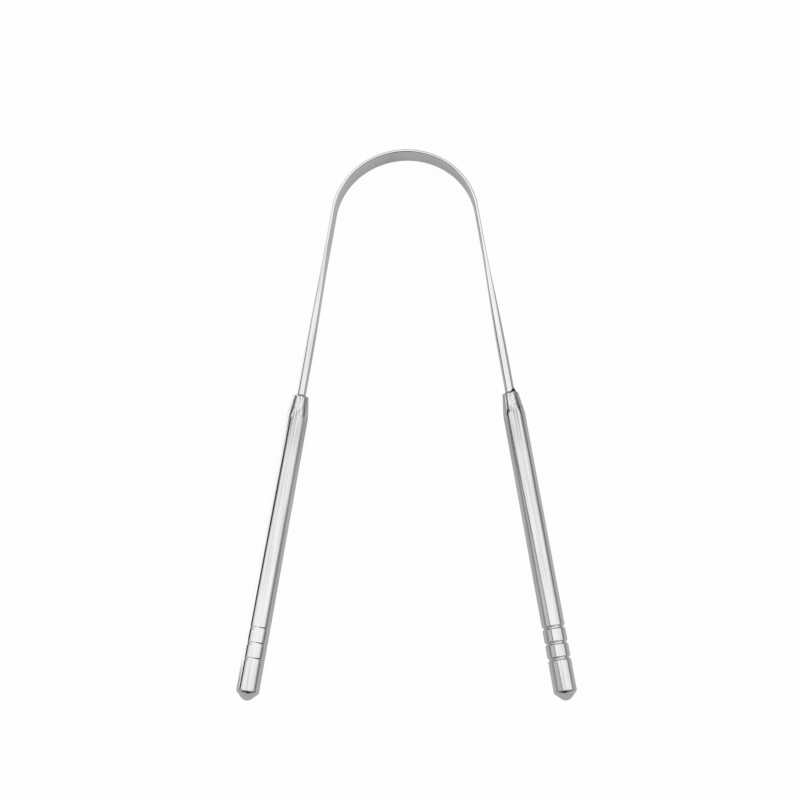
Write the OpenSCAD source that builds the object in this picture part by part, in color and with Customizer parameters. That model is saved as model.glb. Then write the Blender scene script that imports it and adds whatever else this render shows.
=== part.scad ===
// Tongue scraper: a spring-steel bow between two hollow steel handles.
// One length of round wire is rolled flat in its middle, bent to an arch and left round at its
// two ends, which are held in the swaged mouths of the handle tubes. A domed plug closes each tube.
// The scraper lies flat: X across, Y along with the arch towards +Y, Z up. Millimetres.

/* [Scraping band] */
// Radius of the arch, to the middle of the band
arch_r = 20.8; // [17:0.1:26]
// Thickness of the band where the wire is rolled flat
band_t = 0.9; // [0.75:0.05:1.2]
// Width of the band, which stands upright as the scraper lies
band_w = 6; // [4.5:0.1:7]
// Rounding of the four long edges of the band
band_edge_r = 0.35; // [0.15:0.05:0.35]

/* [Legs] */
// Angle between each leg and the centre line
leg_lean = 8.7; // [5:0.1:12]
// Length of a leg, from the end of the arch to the mouth of its handle
leg_l = 56; // [52:0.5:66]
// Diameter of the round wire
wire_d = 2.6; // [2.2:0.05:2.9]
// Length of leg that stays flat beyond the arch
flat_l = 12; // [3:0.5:14]
// Length of leg over which the flat band grows into round wire
blend_l = 34; // [12:1:38]
// Length of wire inside the handle
tang_l = 6; // [4:0.5:12]
// Chamfer on the end of the wire
tang_chamfer = 0.3; // [0.1:0.05:0.5]

/* [Handle tubes] */
// Outside diameter of the tube
handle_d = 6; // [5.2:0.1:7.5]
// Length of the tube, from its mouth to the end that the plug closes
tube_l = 80.45; // [70:0.05:95]
// Wall of the tube
tube_wall = 0.5; // [0.4:0.05:0.7]
// Outside diameter of the swaged mouth
mouth_d = 4.35; // [4:0.05:4.9]
// Length of the swaged taper, a cone that rounds into the side of the tube
taper_l = 7; // [6:0.5:10]
// Radius of that rounding
taper_shoulder_r = 15; // [8:1:16]
// Rounding of the outer edge of the mouth
mouth_edge_r = 0.3; // [0.1:0.05:0.5]
// Length of the tight lip that grips the wire
lip_l = 1.5; // [1:0.1:2]
// Length behind the lip over which the bore opens
lip_flare_l = 1.2; // [0.8:0.1:2]

/* [Rolled grooves] */
// Number of grooves in each handle
groove_count = 3; // [1:1:5]
// Distance from one groove to the next
groove_pitch = 4; // [3:0.1:6]
// Distance from the plugged end of the tube to the middle of the nearest groove
groove_end = 8.05; // [7.5:0.05:12]
// Width of a groove at the surface
groove_w = 1.05; // [0.8:0.05:1.6]
// Width of the floor of a groove
groove_floor_w = 0.25; // [0.15:0.05:0.6]
// Depth of a groove in the right handle
right_groove_depth = 0.4; // [0.2:0.05:0.5]
// Depth of a groove in the left handle, which is rolled more lightly
left_groove_depth = 0.18; // [0.16:0.02:0.5]

/* [End plugs] */
// Radius of the edge where the head rounds in from the side of the tube
head_edge_r = 1; // [0.4:0.1:1.4]
// Angle between the flank of the head and the axis
head_lean = 46; // [40:1:60]
// Radius of the nose of the head
nose_r = 2; // [1:0.1:2.6]
// Length of the spigot inside the tube
spigot_l = 4; // [3:0.5:6]
// Chamfer on the inner end of the spigot
spigot_chamfer = 0.3; // [0.1:0.05:0.5]

/* [Fits] */
// Radial gap between the wire and the lip
tang_gap = 0.02; // [0.01:0.01:0.05]
// Radial gap between the spigot and the tube
plug_gap = 0.02; // [0.01:0.01:0.05]

/* [Hidden] */

// Smoothness: segments round a revolve, points round the wire, rings along the arch and along a
// blend, and steps in an arc
round_fn = 96;
section_points = 28;
arch_steps = 48;
blend_rings = 24;
arc_steps = 14;

// Under 1, the blend thickens early and runs out slowly into the round wire
blend_bias_share = 0.8;

handle_r = handle_d/2;
wire_r = wire_d/2;
// The wire is swept with flat facets, and the lip clears their corners
wire_corner_r = wire_r/cos(180/section_points);
lip_r = wire_corner_r + tang_gap;
bore_r = handle_r - tube_wall;

// The cone of the taper starts at the edge of the mouth and touches the arc of its shoulder
mouth_r = mouth_d/2;
shoulder_drop = taper_shoulder_r - (handle_r - mouth_r);
taper_lean = asin(taper_shoulder_r/norm([taper_l, shoulder_drop])) - atan(shoulder_drop/taper_l);
cone_l = taper_l - taper_shoulder_r*sin(taper_lean);

// The nose is part of a ball that the flank of the head runs out into
nose_z = tube_l + (head_edge_r - nose_r)*sin(head_lean)
    + (handle_r - head_edge_r + (head_edge_r - nose_r)*cos(head_lean))/tan(head_lean);

// The lowest point of a leaning nose sets the length, which is centred on the origin
reach_below_arch = (leg_l + nose_z)*cos(leg_lean) + nose_r - arch_r*sin(leg_lean);
reach_above_arch = arch_r + band_t/2;
arch_y = (reach_below_arch - reach_above_arch)/2;
// Band and handles share a mid-plane, and the taller of them lies on the ground
mid_z = max(band_w, handle_d)/2;

function mix(a, b, share) = a + (b - a)*share;
function ease(share) = share*share*(3 - 2*share);
function arc(centre, r, from, to) =
    [for (i = [0:arc_steps]) centre + r*[cos(mix(from, to, i/arc_steps)), sin(mix(from, to, i/arc_steps))]];

// Section of the wire: a rectangle 2a by 2b with corners of radius r, which is a circle when all
// three are equal. Its points stand half a step off the axes, so that the flats never vanish.
function section(a, b, r) =
    let (step = 360/section_points)
    [for (i = [0:section_points - 1])
        let (turn = (i + 0.5)*step, c = cos(turn), s = sin(turn), edge = r/cos(step/2))
        [sign(c)*(a - r) + c*edge, sign(s)*(b - r) + s*edge]];

function section_area(a, b, r) = 4*a*b - (4 - PI)*r*r;
function round_section(r) = section(r, r, r);
band_section = section(band_t/2, band_w/2, band_edge_r);

// Section at a share of the blend. Metal is only moved, so the width follows from the area, and the
// rolls leave the edges tight until the wire is nearly round.
function blend_section(share) =
    let (
        grown = ease(pow(share, blend_bias_share)),
        a = mix(band_t, wire_d, grown)/2,
        r = mix(band_edge_r, wire_r, grown*grown),
        flat_area = section_area(band_t/2, band_w/2, band_edge_r),
        area = mix(flat_area, PI*wire_r*wire_r, grown),
        b = (area + (4 - PI)*r*r)/(4*a)
    )
    section(a, b, r);

// Radius of the taper at a distance from the mouth
function taper_radius(z) =
    z < cone_l
    ? mouth_r + z*tan(taper_lean)
    : handle_r - taper_shoulder_r + sqrt(pow(taper_shoulder_r, 2) - pow(taper_l - z, 2));

// A rolled groove, as points of radius and distance along a tube of radius r
function groove(r, depth, middle) = concat(
    [for (i = [0:arc_steps])
        [r - depth*ease(i/arc_steps), middle - mix(groove_w, groove_floor_w, i/arc_steps)/2]],
    [for (i = [0:arc_steps])
        [r - depth*ease(1 - i/arc_steps), middle + mix(groove_floor_w, groove_w, i/arc_steps)/2]]);

function grooves(r, depth) =
    [for (i = [groove_count - 1:-1:0]) each groove(r, depth, tube_l - groove_end - i*groove_pitch)];

function reversed(points) = [for (i = [len(points) - 1:-1:0]) points[i]];

// A ring of the band at a place round the arch
function ring_on_arch(turn) =
    [for (p = band_section)
        [(arch_r + p[0])*cos(turn), arch_y + (arch_r + p[0])*sin(turn), mid_z + p[1]]];

// A ring of the wire on one leg, at a distance past the end of the arch
function ring_on_leg(side, z, points) =
    [for (p = points)
        [side*((arch_r + p[0])*cos(leg_lean) + z*sin(leg_lean)),
         arch_y + (arch_r + p[0])*sin(leg_lean) - z*cos(leg_lean),
         mid_z + p[1]]];

// The rings of a leg: flat band that grows into round wire, then the chamfered end in the handle
function leg_rings(side) = concat(
    [for (i = [0:blend_rings])
        ring_on_leg(side, flat_l + blend_l*i/blend_rings, blend_section(i/blend_rings))],
    [ring_on_leg(side, leg_l + tang_l - tang_chamfer, round_section(wire_r)),
     ring_on_leg(side, leg_l + tang_l, round_section(wire_r - tang_chamfer))]);

// Joins equal rings of points, one after the other, into a closed solid
module sweep(rings) {
    n = len(rings[0]);
    last = len(rings) - 1;
    sides = [for (k = [0:last - 1]) for (i = [0:n - 1])
        let (here = k*n + i, next = k*n + (i + 1)%n)
        each [[here, next, here + n], [next, next + n, here + n]]];
    first_end = [for (i = [n - 1:-1:0]) i];
    last_end = [for (i = [0:n - 1]) last*n + i];
    polyhedron([for (ring = rings) each ring], concat(sides, [first_end, last_end]), convexity = 6);
}

// The whole wire in one piece, swept from the end in one handle to the end in the other
module scraper_bow() {
    arch_rings = [for (i = [0:arch_steps])
        ring_on_arch(mix(180 - leg_lean, leg_lean, i/arch_steps))];
    color([0.83, 0.84, 0.86])
        sweep(concat(reversed(leg_rings(-1)), arch_rings, leg_rings(1)));
}

// Puts a piece on the line of a leg, with its own Z running from the mouth of the handle to its end
module on_leg(side) {
    mirror([side < 0 ? 1 : 0, 0, 0])
        translate([arch_r*cos(leg_lean), arch_y + arch_r*sin(leg_lean), mid_z])
            rotate([90, 0, leg_lean])
                translate([0, 0, leg_l])
                    children();
}

// A drawn tube: the mouth is swaged down to the wire and the grooves are rolled in, so that the
// bore follows the outside
module handle_tube(groove_depth) {
    rim_r = taper_radius(mouth_edge_r);
    opened_z = lip_l + lip_flare_l;
    outside = concat(
        arc([rim_r - mouth_edge_r, mouth_edge_r], mouth_edge_r, -90, 0),
        [for (i = [1:arc_steps])
            let (z = mix(mouth_edge_r, taper_l, i/arc_steps)) [taper_radius(z), z]],
        grooves(handle_r, groove_depth),
        [[handle_r, tube_l]]);
    inside = concat(
        [[lip_r, 0], [lip_r, lip_l]],
        [for (i = [0:arc_steps])
            let (z = mix(opened_z, taper_l, i/arc_steps)) [taper_radius(z) - tube_wall, z]],
        grooves(bore_r, groove_depth),
        [[bore_r, tube_l]]);
    rotate_extrude($fn = round_fn)
        polygon(concat(outside, reversed(inside)));
}

module handle(side, groove_depth) {
    color([0.80, 0.81, 0.83])
        on_leg(side)
            handle_tube(groove_depth);
}

// A turned plug: a spigot in the tube, and a head as wide as the tube that comes to a blunt nose
module end_plug(side) {
    spigot_r = bore_r - plug_gap;
    spigot_z = tube_l - spigot_l;
    color([0.76, 0.77, 0.79])
        on_leg(side)
            rotate_extrude($fn = round_fn)
                polygon(concat(
                    [[0, spigot_z], [spigot_r - spigot_chamfer, spigot_z],
                     [spigot_r, spigot_z + spigot_chamfer], [spigot_r, tube_l]],
                    arc([handle_r - head_edge_r, tube_l], head_edge_r, 0, head_lean),
                    arc([0, nose_z], nose_r, head_lean, 90)));
}

module left_handle() { handle(-1, left_groove_depth); }
module right_handle() { handle(1, right_groove_depth); }
module left_end_plug() { end_plug(-1); }
module right_end_plug() { end_plug(1); }

scraper_bow();
left_handle();
right_handle();
left_end_plug();
right_end_plug();
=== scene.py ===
# Tongue scraper of polished stainless steel, lying flat with its arch towards +Y.
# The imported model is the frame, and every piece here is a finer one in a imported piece's place.
import math

import bmesh
import bpy
from mathutils import Matrix, Vector


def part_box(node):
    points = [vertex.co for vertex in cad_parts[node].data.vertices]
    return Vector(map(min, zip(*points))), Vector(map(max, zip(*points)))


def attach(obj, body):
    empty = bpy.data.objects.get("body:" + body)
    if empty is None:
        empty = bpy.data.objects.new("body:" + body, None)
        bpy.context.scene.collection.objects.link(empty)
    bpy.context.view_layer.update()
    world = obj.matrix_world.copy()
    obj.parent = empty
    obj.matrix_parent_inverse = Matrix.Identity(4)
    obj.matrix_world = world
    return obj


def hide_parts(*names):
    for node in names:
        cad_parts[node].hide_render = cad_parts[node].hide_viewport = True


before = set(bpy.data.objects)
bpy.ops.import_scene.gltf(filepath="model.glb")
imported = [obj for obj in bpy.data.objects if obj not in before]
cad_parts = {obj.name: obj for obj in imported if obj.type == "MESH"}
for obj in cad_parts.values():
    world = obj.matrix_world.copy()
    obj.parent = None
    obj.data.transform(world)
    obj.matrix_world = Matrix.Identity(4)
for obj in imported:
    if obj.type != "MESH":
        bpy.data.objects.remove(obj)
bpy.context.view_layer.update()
mm = 0.001

# Scraper bow: one length of drawn spring-steel wire, polished all over. Its middle is rolled flat
# into a band with rounded edges and bent to an arch, which is the scraping edge. The wire stays
# round at its two ends, which are pressed into the mouths of the handles.
wire_radius = 1.3*mm
band_thickness = 0.9*mm
band_width = 6*mm
band_edge_radius = 0.35*mm
arch_radius = 20.8*mm
leg_lean = math.radians(8.7)
leg_length = 56*mm
flat_length = 12*mm
blend_length = 34*mm
blend_bias = 0.8
tang_length = 6*mm
tang_chamfer = 0.3*mm
wire_points = 64
wire_steps = 260
bow_colour = (0.84, 0.84, 0.845)
polish_roughness = 0.07

# Lines, waves and smears in the steel: the scale of each across and along it, and its detail
line_grain = ((2600, 2600, 45), 3)
line_range = (0.35, 0.62)
line_darkening = 0.78
line_strength = 0.25
line_depth = 0.01*mm
wave_grain = ((420, 420, 30), 1)
wave_strength = 0.12
wave_depth = 0.05*mm
smear_grain = ((700, 700, 160), 4)
smear_range = (0.35, 0.7)
streak_grain = ((4200, 4200, 48), 1)
streak_range = (0.52, 0.62)
streak_strength = 0.8
streak_darkening = 0.3
full_streak_share = 0.4
far_streak_share = 0.12

low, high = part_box("scraper_bow")
arch_y = high.y - arch_radius - band_thickness/2
mid_z = (low.z + high.z)/2
half_arch = arch_radius*(math.pi/2 - leg_lean)
half_wire = half_arch + leg_length + tang_length


def mix(start, end, share):
    return start + (end - start)*share


def ease(share):
    share = min(1, max(0, share))
    return share*share*(3 - 2*share)


def rolled(point):
    """Where a point of the round wire lies when the middle is rolled flat. No metal is lost."""
    share = min(1, max(0, (abs(point.z) - half_arch - flat_length)/blend_length))
    grown = ease(share**blend_bias)
    half_thick = mix(band_thickness/2, wire_radius, grown)
    corner = mix(band_edge_radius, wire_radius, grown**2)
    left_out = 4 - math.pi
    flat_area = band_thickness*band_width - left_out*band_edge_radius**2
    area = mix(flat_area, math.pi*wire_radius**2, grown)
    half_wide = (area + left_out*corner**2)/(4*half_thick)
    turn = math.atan2(point.y, point.x)
    reach = math.hypot(point.x, point.y)/wire_radius
    across = math.copysign(half_thick - corner, point.x) + corner*math.cos(turn)
    up = math.copysign(half_wide - corner, point.y) + corner*math.sin(turn)
    return Vector((across*reach, up*reach, point.z))


def bent(point):
    """Where a point of the straight wire lies when the middle is bent to the arch."""
    side = math.copysign(1, point.z)
    along = min(abs(point.z), half_arch)
    beyond = abs(point.z) - along
    turn = along/arch_radius
    out = arch_radius + point.x
    return Vector((side*(out*math.sin(turn) + beyond*math.cos(turn)),
                   arch_y + out*math.cos(turn) - beyond*math.sin(turn),
                   mid_z + point.y))


def polished_steel(name, colour, roughness, streak_length=0):
    """Stainless steel drawn lengthwise and polished: fine lines, soft waves and smears that follow
    the piece as it was drawn, before it was bent. Swaging leaves coarser streaks, which fade over
    the streak length from the mouth to a few."""
    steel = bpy.data.materials.new(name)
    steel.use_nodes = True
    nodes = steel.node_tree.nodes
    link = steel.node_tree.links.new
    shader = nodes["Principled BSDF"]
    shader.inputs["Metallic"].default_value = 1
    drawn = nodes.new("ShaderNodeAttribute")
    drawn.attribute_name = "drawn"

    def grain(scale, detail):
        spread = nodes.new("ShaderNodeMapping")
        spread.inputs["Scale"].default_value = scale
        link(drawn.outputs["Vector"], spread.inputs["Vector"])
        noise = nodes.new("ShaderNodeTexNoise")
        noise.inputs["Scale"].default_value = 1
        noise.inputs["Detail"].default_value = detail
        link(spread.outputs["Vector"], noise.inputs["Vector"])
        return noise.outputs["Fac"]

    def spread_over(value, low_in, high_in, low_out, high_out):
        span = nodes.new("ShaderNodeMapRange")
        for socket, number in zip(span.inputs[1:5], (low_in, high_in, low_out, high_out)):
            socket.default_value = number
        link(value, span.inputs["Value"])
        return span.outputs["Result"]

    fine_lines = grain(*line_grain)
    waves = grain(*wave_grain)
    smears = grain(*smear_grain)

    tint = nodes.new("ShaderNodeMix")
    tint.data_type = "RGBA"
    tint.inputs["A"].default_value = [line_darkening*c for c in colour] + [1]
    tint.inputs["B"].default_value = list(colour) + [1]
    link(spread_over(fine_lines, *line_range, 0, 1), tint.inputs["Factor"])
    link(tint.outputs["Result"], shader.inputs["Base Color"])
    if streak_length:
        place = nodes.new("ShaderNodeSeparateXYZ")
        link(drawn.outputs["Vector"], place.inputs["Vector"])
        near_mouth = spread_over(place.outputs["Z"], full_streak_share*streak_length,
                                 streak_length, 1, far_streak_share)
        streaks = spread_over(grain(*streak_grain), *streak_range, 0, streak_strength)
        marked = nodes.new("ShaderNodeMath")
        marked.operation = "MULTIPLY"
        link(near_mouth, marked.inputs[0])
        link(streaks, marked.inputs[1])
        streaked = nodes.new("ShaderNodeMix")
        streaked.data_type = "RGBA"
        streaked.inputs["B"].default_value = [streak_darkening*c for c in colour] + [1]
        link(marked.outputs["Value"], streaked.inputs["Factor"])
        link(tint.outputs["Result"], streaked.inputs["A"])
        link(streaked.outputs["Result"], shader.inputs["Base Color"])
    link(spread_over(smears, *smear_range, roughness, 2*roughness), shader.inputs["Roughness"])

    wavy = nodes.new("ShaderNodeBump")
    wavy.inputs["Strength"].default_value = wave_strength
    wavy.inputs["Distance"].default_value = wave_depth
    link(waves, wavy.inputs["Height"])
    lined = nodes.new("ShaderNodeBump")
    lined.inputs["Strength"].default_value = line_strength
    lined.inputs["Distance"].default_value = line_depth
    link(fine_lines, lined.inputs["Height"])
    link(wavy.outputs["Normal"], lined.inputs["Normal"])
    link(lined.outputs["Normal"], shader.inputs["Normal"])
    return steel


def note_as_drawn(bm):
    """Keeps where each point lies on the straight piece, for the lines in its steel."""
    drawn = bm.verts.layers.float_vector.new("drawn")
    for v in bm.verts:
        v[drawn] = v.co


def made_piece(bm, name, finish):
    """Finishes a piece. Its wide faces keep their own direction, so that they mirror as flat."""
    bmesh.ops.recalc_face_normals(bm, faces=bm.faces)
    mesh = bpy.data.meshes.new(name)
    bm.to_mesh(mesh)
    bm.free()
    mesh.shade_smooth()
    mesh.materials.append(finish)
    piece = bpy.data.objects.new(name, mesh)
    bpy.context.scene.collection.objects.link(piece)
    piece.modifiers.new("kept_normals", "WEIGHTED_NORMAL")
    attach(piece, "root")
    return piece


wire = bmesh.new()
bmesh.ops.create_cone(wire, cap_ends=True, segments=wire_points, radius1=wire_radius,
                      radius2=wire_radius, depth=2*half_wire)
bmesh.ops.rotate(wire, verts=wire.verts, matrix=Matrix.Rotation(math.pi/wire_points, 3, "Z"))
rims = [e for e in wire.edges if e.calc_length() < wire_radius]
bmesh.ops.bevel(wire, geom=rims, offset=tang_chamfer, segments=1, profile=0.5, material=-1,
                affect="EDGES")
lengthwise = [e for e in wire.edges if e.calc_length() > half_wire]
bmesh.ops.subdivide_edges(wire, edges=lengthwise, cuts=wire_steps - 1)
note_as_drawn(wire)
for v in wire.verts:
    v.co = bent(rolled(v.co))
bow = made_piece(wire, "bow_wire", polished_steel("bow_steel", bow_colour, polish_roughness))
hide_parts("scraper_bow")

# Handle tubes: drawn stainless tube, hollow from end to end. The mouth is swaged down to a cone
# that grips the wire, and three grooves are rolled in near the other end for the fingers, deep in
# the right handle and more lightly in the left. The bore follows the outside.
tube_radius = 3*mm
tube_length = 80.45*mm
tube_wall = 0.5*mm
mouth_radius = 2.175*mm
mouth_edge_radius = 0.3*mm
end_edge_radius = 0.06*mm
taper_length = 7*mm
taper_shoulder_radius = 15*mm
lip_length = 1.5*mm
lip_flare_length = 1.2*mm
lip_gap = 0.03*mm
groove_count = 3
groove_pitch = 4*mm
groove_end = 8.05*mm
groove_width = 1.05*mm
groove_floor_width = 0.25*mm
groove_depths = {"left": 0.04*mm, "right": 0.4*mm}
groove_side_room = 0.05*mm
round_steps = 128
taper_steps = 28
groove_steps = 12
edge_steps = 5
same_place = 0.001*mm
handle_colour = (0.81, 0.81, 0.815)
swaged_streaks = 18*mm

shoulder_drop = taper_shoulder_radius - (tube_radius - mouth_radius)
taper_lean = (math.asin(taper_shoulder_radius/math.hypot(taper_length, shoulder_drop))
              - math.atan(shoulder_drop/taper_length))
cone_length = taper_length - taper_shoulder_radius*math.sin(taper_lean)
groove_middles = [tube_length - groove_end - i*groove_pitch for i in reversed(range(groove_count))]


def stations(start, end, count):
    return [mix(start, end, i/count) for i in range(count + 1)]


def pressed(along, groove_depth):
    """How far the wall is pressed in at a distance from the mouth, by swaging and by rolling."""
    if along < cone_length:
        return tube_radius - mouth_radius - along*math.tan(taper_lean)
    to_go = max(0, taper_length - along)
    drop = taper_shoulder_radius - math.sqrt(taper_shoulder_radius**2 - to_go**2)
    for middle in groove_middles:
        off = abs(along - middle)
        drop += groove_depth*ease((groove_width/2 - off)/(groove_width/2 - groove_floor_width/2))
    return drop


def grooved(start, end):
    """Stations from start to end that are close together where the wall is pressed in."""
    places = stations(start, taper_length, taper_steps)
    for middle in groove_middles:
        places.append(middle - groove_width/2 - groove_side_room)
        places += stations(middle - groove_width/2, middle - groove_floor_width/2, groove_steps)
        places += stations(middle + groove_floor_width/2, middle + groove_width/2, groove_steps)
        places.append(middle + groove_width/2 + groove_side_room)
    return places + [end - 2*end_edge_radius, end]


def turned(outline):
    """Spins a closed outline of radius and distance round its axis, as a lathe does."""
    bm = bmesh.new()
    corners = [bm.verts.new((radius, 0, along)) for radius, along in outline]
    for corner, after in zip(corners, corners[1:] + corners[:1]):
        bm.edges.new((corner, after))
    bmesh.ops.spin(bm, geom=bm.verts[:] + bm.edges[:], axis=(0, 0, 1), cent=(0, 0, 0),
                   angle=2*math.pi, steps=round_steps, use_merge=True)
    bmesh.ops.remove_doubles(bm, verts=bm.verts, dist=same_place)
    return bm


def soften(bm, radius, along, edge_radius):
    """Rounds the edge that runs round a turned piece at one radius and one distance."""
    def there(v):
        off_radius = abs(math.hypot(v.co.x, v.co.y) - radius)
        return off_radius < same_place and abs(v.co.z - along) < same_place
    rim = [e for e in bm.edges if all(there(v) for v in e.verts)]
    bmesh.ops.bevel(bm, geom=rim, offset=edge_radius, segments=edge_steps, profile=0.5, material=-1,
                    affect="EDGES")


def on_leg(side):
    """Puts a straight piece on the line of a leg, from the mouth of the handle to its end."""
    across = Vector((side*math.cos(leg_lean), math.sin(leg_lean), 0))
    down = Vector((side*math.sin(leg_lean), -math.cos(leg_lean), 0))
    place = Matrix((across, Vector((0, 0, 1)), down)).transposed().to_4x4()
    place.translation = Vector((0, arch_y, mid_z)) + arch_radius*across + leg_length*down
    return place


handle_steel = polished_steel("handle_steel", handle_colour, polish_roughness, swaged_streaks)
for name, side in (("left", -1), ("right", 1)):
    depth = groove_depths[name]
    outside = [(tube_radius - pressed(z, depth), z) for z in grooved(0, tube_length)]
    lip_radius = wire_radius + lip_gap
    inside = [(lip_radius, 0), (lip_radius, lip_length)]
    inside += [(tube_radius - tube_wall - pressed(z, depth), z)
               for z in grooved(lip_length + lip_flare_length, tube_length)]
    tube = turned(outside + inside[::-1])
    soften(tube, mouth_radius, 0, mouth_edge_radius)
    soften(tube, tube_radius, tube_length, end_edge_radius)
    note_as_drawn(tube)
    bmesh.ops.transform(tube, matrix=on_leg(side), verts=tube.verts)
    handle = made_piece(tube, f"{name}_tube", handle_steel)
    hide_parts(f"{name}_handle")

# Mouth rings: a thin black fillet round the wire at each mouth of a handle, mottled near-black.
# In the right joint it runs out along the wire in a small bead on the outer side.
fillet_height = 0.34*mm
fillet_length = 0.28*mm
bead_length = 1.3*mm
bead_thickness = 0.5*mm
bead_turn = math.radians(32)
bead_half_turn = math.radians(62)
belly_height_share = 0.6
belly_place_share = 0.55
ring_roughness = 0.6
ring_shine = 0.25
mottle_scale = 4000
mottle_strength = 0.5
mottle_depth = 0.03*mm
# Near-black colours of the rings at the mouths, mixed by a fine noise
darkest_colour = (0.008, 0.008, 0.008, 1)
mottle_colour = (0.03, 0.028, 0.026, 1)

ring_finish = bpy.data.materials.new("scorched_braze")
ring_finish.use_nodes = True
nodes = ring_finish.node_tree.nodes
link = ring_finish.node_tree.links.new
shader = nodes["Principled BSDF"]
shader.inputs["Roughness"].default_value = ring_roughness
shader.inputs["Specular IOR Level"].default_value = ring_shine
placed = nodes.new("ShaderNodeTexCoord")
mottle_noise = nodes.new("ShaderNodeTexNoise")
mottle_noise.inputs["Scale"].default_value = mottle_scale
link(placed.outputs["Object"], mottle_noise.inputs["Vector"])
soot = nodes.new("ShaderNodeMix")
soot.data_type = "RGBA"
soot.inputs["A"].default_value = darkest_colour
soot.inputs["B"].default_value = mottle_colour
link(mottle_noise.outputs["Fac"], soot.inputs["Factor"])
link(soot.outputs["Result"], shader.inputs["Base Color"])
mottle_bump = nodes.new("ShaderNodeBump")
mottle_bump.inputs["Strength"].default_value = mottle_strength
mottle_bump.inputs["Distance"].default_value = mottle_depth
link(mottle_noise.outputs["Fac"], mottle_bump.inputs["Height"])
link(mottle_bump.outputs["Normal"], shader.inputs["Normal"])
for name, side, run, swell in (("left", -1, fillet_length, fillet_height),
                               ("right", 1, bead_length, bead_thickness)):
    fillet = turned([(wire_radius, 0), (wire_radius, -fillet_length),
                     (wire_radius + belly_height_share*fillet_height,
                      -belly_place_share*fillet_length),
                     (wire_radius + fillet_height, 0)])
    for v in fillet.verts:
        off = abs(math.atan2(v.co.y, v.co.x) - bead_turn)/bead_half_turn
        thick = math.hypot(v.co.x, v.co.y) - wire_radius
        swollen = wire_radius + thick*mix(1, swell/fillet_height, ease(1 - off))
        v.co.xy *= swollen/(wire_radius + thick)
        v.co.z *= mix(1, run/fillet_length, ease(1 - off))
    bmesh.ops.transform(fillet, matrix=on_leg(side), verts=fillet.verts)
    made_piece(fillet, f"{name}_braze", ring_finish)

# End plugs: turned from stainless bar and polished, with a spigot pressed into the tube. The head
# is as wide as the tube, rounds in at its edge and comes to a blunt nose.
head_edge_radius = 1*mm
head_lean = math.radians(46)
nose_radius = 2*mm
seam_edge_radius = 0.06*mm
spigot_length = 4*mm
spigot_chamfer = 0.3*mm
spigot_gap = 0.02*mm
head_edge_steps = 8
nose_steps = 24
plug_colour = (0.77, 0.77, 0.775)

head_edge_centre = tube_radius - head_edge_radius
edge_less_nose = head_edge_radius - nose_radius
nose_centre = (tube_length + edge_less_nose*math.sin(head_lean)
               + (head_edge_centre + edge_less_nose*math.cos(head_lean))/math.tan(head_lean))
plug_steel = polished_steel("plug_steel", plug_colour, polish_roughness)
for name, side in (("left", -1), ("right", 1)):
    spigot_radius = tube_radius - tube_wall - spigot_gap
    spigot_start = tube_length - spigot_length
    edge = [(head_edge_centre + head_edge_radius*math.cos(turn),
             tube_length + head_edge_radius*math.sin(turn))
            for turn in stations(0, head_lean, head_edge_steps)]
    nose = [(nose_radius*math.cos(turn), nose_centre + nose_radius*math.sin(turn))
            for turn in stations(head_lean, math.pi/2, nose_steps)]
    plug = turned([(0, spigot_start), (spigot_radius - spigot_chamfer, spigot_start),
                   (spigot_radius, spigot_start + spigot_chamfer), (spigot_radius, tube_length)]
                  + edge + nose)
    soften(plug, tube_radius, tube_length, seam_edge_radius)
    note_as_drawn(plug)
    bmesh.ops.transform(plug, matrix=on_leg(side), verts=plug.verts)
    head = made_piece(plug, f"{name}_plug", plug_steel)
    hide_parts(f"{name}_end_plug")

# Table: a plain pale surface under the scraper. The camera sees it white with the scraper's soft
# shadow. The steel mirrors it with a painted reflection instead: an even painted grey, a painted
# shade darker between the handles, and a painted white glow on the left along the handle to its
# grooves.
table_half = 1.5
table_grey = 0.9
white_share = 0.97
# Painted reflection: what only the steel sees of the table, a grey, a painted white glow on the
# left and painted shade between the handles
painted_mirror_grey = 0.58
mirrored_share = 0.6
painted_reflection_white = 1.3
painted_reflection_edge = (32*mm, 36*mm)
painted_reflection_end = (-72*mm, -64*mm)
painted_reflection_facing = (-math.cos(leg_lean), math.sin(leg_lean), 0)
painted_shade_grey = 0.3
painted_shade_middle = -3.5*mm
painted_shade_edge = (11*mm, 7*mm)
painted_shade_end = (4*mm, -4*mm)

table_mesh = bmesh.new()
bmesh.ops.create_grid(table_mesh, x_segments=1, y_segments=1, size=table_half)
sheet = bpy.data.meshes.new("table")
table_mesh.to_mesh(sheet)
table_mesh.free()
table = bpy.data.objects.new("table", sheet)
bpy.context.scene.collection.objects.link(table)
pale = bpy.data.materials.new("pale_table")
pale.use_nodes = True
sheet.materials.append(pale)
nodes = pale.node_tree.nodes
link = pale.node_tree.links.new
ray = nodes.new("ShaderNodeLightPath")
seen, glossy = ray.outputs["Is Camera Ray"], ray.outputs["Is Glossy Ray"]
placed = nodes.new("ShaderNodeTexCoord")
leftward = nodes.new("ShaderNodeVectorMath")
leftward.operation = "DOT_PRODUCT"
leftward.inputs[1].default_value = painted_reflection_facing
link(placed.outputs["Object"], leftward.inputs[0])
parts = nodes.new("ShaderNodeSeparateXYZ")
link(placed.outputs["Object"], parts.inputs["Vector"])


def worked_out(operation, *values):
    """Works out one sum, product or the like. As the next two do, it adds its node to the material
    or world that is being made."""
    node = nodes.new("ShaderNodeMath")
    node.operation = operation
    for socket, value in zip(node.inputs, values):
        if isinstance(value, (int, float)):
            socket.default_value = value
        else:
            link(value, socket)
    return node.outputs["Value"]


def past(value, start, end):
    """Runs smoothly from 0 at the start to 1 at the end."""
    node = nodes.new("ShaderNodeMapRange")
    node.interpolation_type = "SMOOTHSTEP"
    node.inputs["From Min"].default_value = start
    node.inputs["From Max"].default_value = end
    link(value, node.inputs["Value"])
    return node.outputs["Result"]


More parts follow.
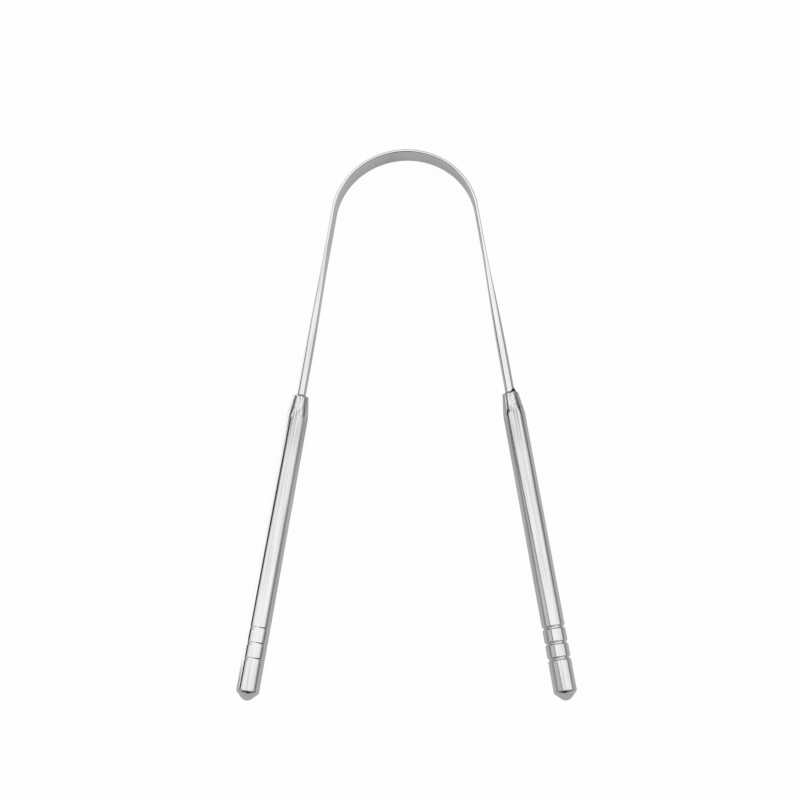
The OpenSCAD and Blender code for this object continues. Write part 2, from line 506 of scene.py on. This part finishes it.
def hung(behind, tone, where):
    """Hangs something of one tone in front of what is there already."""
    node = nodes.new("ShaderNodeMix")
    # The second socket takes a factor for each axis, and a single tone has no use for it
    for socket, value in zip(node.inputs[:4], (where, None, behind, tone)):
        if isinstance(value, (int, float)):
            socket.default_value = value
        elif value is not None:
            link(value, socket)
    return node.outputs["Result"]


# Where the steel sees the painted white glow on the left and the painted shade between the handles
painted_reflection_mask = worked_out("MULTIPLY", past(leftward.outputs["Value"], *painted_reflection_edge),
                  past(parts.outputs["Y"], *painted_reflection_end))
off_middle = worked_out("ABSOLUTE", worked_out("SUBTRACT", parts.outputs["X"], painted_shade_middle))
painted_shade_mask = worked_out("MULTIPLY", past(off_middle, *painted_shade_edge),
                     past(parts.outputs["Y"], *painted_shade_end))
steel_sees = hung(hung(painted_mirror_grey, painted_shade_grey, painted_shade_mask), painted_reflection_white, painted_reflection_mask)
mirrored = hung(mirrored_share, 1, worked_out("ADD", painted_reflection_mask, painted_shade_mask))
share = worked_out("MULTIPLY_ADD", seen, white_share, worked_out("MULTIPLY", mirrored, glossy))
matt = nodes.new("ShaderNodeBsdfDiffuse")
link(hung(table_grey, 1, seen), matt.inputs["Color"])
white = nodes.new("ShaderNodeEmission")
link(hung(1, steel_sees, glossy), white.inputs["Strength"])
both = nodes.new("ShaderNodeMixShader")
link(share, both.inputs["Fac"])
link(matt.outputs["BSDF"], both.inputs[1])
link(white.outputs["Emission"], both.inputs[2])
link(both.outputs["Shader"], nodes["Material Output"].inputs["Surface"])

# Light tent: white cloth that darkens towards the table's edge, with a dark gap behind. A black
# strip slants down the left side over the table's painted white reflection. The front is open and
# dark where the camera looks in and grey beside that, over a grey skirt, with a grey screen to its
# left.
cloth_tone = 1.12
edge_tone = 0.13
strip_tone = 0.02
gap_tone = 0.2
screen_tone = 0.65
screen_edge_tone = 0.2
opening_tone = 0.03
beside_opening_tone = 0.4
skirt_tone = 0.5

# Places are shares of a direction of length 1, so a height is the sine of the angle above the
# table. A pair says where one tone begins to give way to the next and where it has.
edge_fade = (0.58, -0.1)
back_edge_rise = 0.13
back_edge_start = (0.08, 0.24)
front_edge_rise = 0.1
front_edge_start = (0.05, -0.06)
strip_slant = 2.2
strip_height = -0.33
lowest_strip = 0.1
strip_top = (0.5, 0.1)
strip_bottom = (-0.1, -0.2)
left_start = (-0.2, -0.35)
left_back_end = (0.385, 0.345)
gap_top = 0.12
gap_top_fade = (0.25, 0)
gap_start = (0.34, 0.4)
screen_slant = 0.28
screen_start = (-0.145, -0.155)
screen_edge_end = (-0.19, -0.22)
screen_right_end = (-0.3, -0.38)
screen_bottom = (0.22, 0.28)
screen_foot_top = (0.06, 0.12)
opening_start = (-0.17, -0.27)
opening_left_end = (-0.9, -0.8)
beside_opening_slant = 0.9
beside_opening_start = (-0.27, -0.37)
beside_opening_side = (0.16, 0.3)
skirt_top = (0.05, 0.12)

tent = bpy.data.worlds.new("light_tent")
bpy.context.scene.world = tent
tent.use_nodes = True
nodes = tent.node_tree.nodes
link = tent.node_tree.links.new
lit = nodes["Background"]
direction = nodes.new("ShaderNodeTexCoord")
parts = nodes.new("ShaderNodeSeparateXYZ")
link(direction.outputs["Generated"], parts.inputs["Vector"])
rightward, backward, height = parts.outputs

over_edge = worked_out("MULTIPLY_ADD", past(backward, *back_edge_start), -back_edge_rise, height)
over_edge = worked_out("MULTIPLY_ADD", past(backward, *front_edge_start), -front_edge_rise,
                       over_edge)
right_side = hung(cloth_tone, edge_tone, past(over_edge, *edge_fade))
strip = worked_out("MULTIPLY_ADD", backward, strip_slant, strip_height)
over_strip = worked_out("SUBTRACT", height, worked_out("MAXIMUM", strip, lowest_strip))
left_side = hung(cloth_tone, strip_tone, past(over_strip, *strip_top))
left_side = hung(left_side, cloth_tone, past(over_strip, *strip_bottom))
on_left = worked_out("MULTIPLY", past(rightward, *left_start), past(backward, *left_back_end))
around = hung(right_side, left_side, on_left)
over_gap = worked_out("ADD", worked_out("SUBTRACT", height, backward), gap_top)
gap = worked_out("MULTIPLY", past(backward, *gap_start), past(over_gap, *gap_top_fade))
around = hung(around, gap_tone, gap)
slanted = worked_out("MULTIPLY_ADD", rightward, screen_slant, backward)
screened = worked_out("MULTIPLY", past(slanted, *screen_start),
                      past(rightward, *screen_right_end))
under_screen = hung(skirt_tone, screen_edge_tone, past(height, *screen_foot_top))
screen = hung(screen_edge_tone, screen_tone, past(slanted, *screen_edge_end))
screen = hung(under_screen, screen, past(height, *screen_bottom))
around = hung(around, screen, screened)
front = worked_out("MULTIPLY", past(backward, *opening_start),
                   past(rightward, *opening_left_end))
low_front = worked_out("MULTIPLY_ADD", height, beside_opening_slant, backward)
beside = worked_out("MULTIPLY", past(low_front, *beside_opening_start),
                    past(worked_out("ABSOLUTE", rightward), *beside_opening_side))
opening = hung(opening_tone, beside_opening_tone, beside)
opening = hung(skirt_tone, opening, past(height, *skirt_top))
around = hung(around, opening, front)
# The camera itself sees plain white
around = hung(around, 1, nodes.new("ShaderNodeLightPath").outputs["Is Camera Ray"])
link(around, lit.inputs["Strength"])
lit.inputs["Color"].default_value = (1, 1, 1, 1)

# Camera: above the scraper and a little in front of it, tilted and turned as the photograph was
# taken. The focal length is given as pixels of an image 800 pixels wide.
image_width = 800
focal_pixels = 1181
sensor_width = 36
nearest_seen = 10*mm
camera_turn = (0.2665, 0.0625, -0.0158)
camera_place = Vector((17.65, -83.35, 317.7))*mm
view = bpy.data.cameras.new("camera")
view.sensor_width = sensor_width
view.lens = sensor_width*focal_pixels/image_width
view.clip_start = nearest_seen
camera = bpy.data.objects.new("camera", view)
camera.rotation_mode = "YXZ"
camera.rotation_euler = camera_turn
camera.location = camera_place
bpy.context.scene.collection.objects.link(camera)
bpy.context.scene.camera = camera
bpy.context.scene.view_settings.view_transform = "Standard"
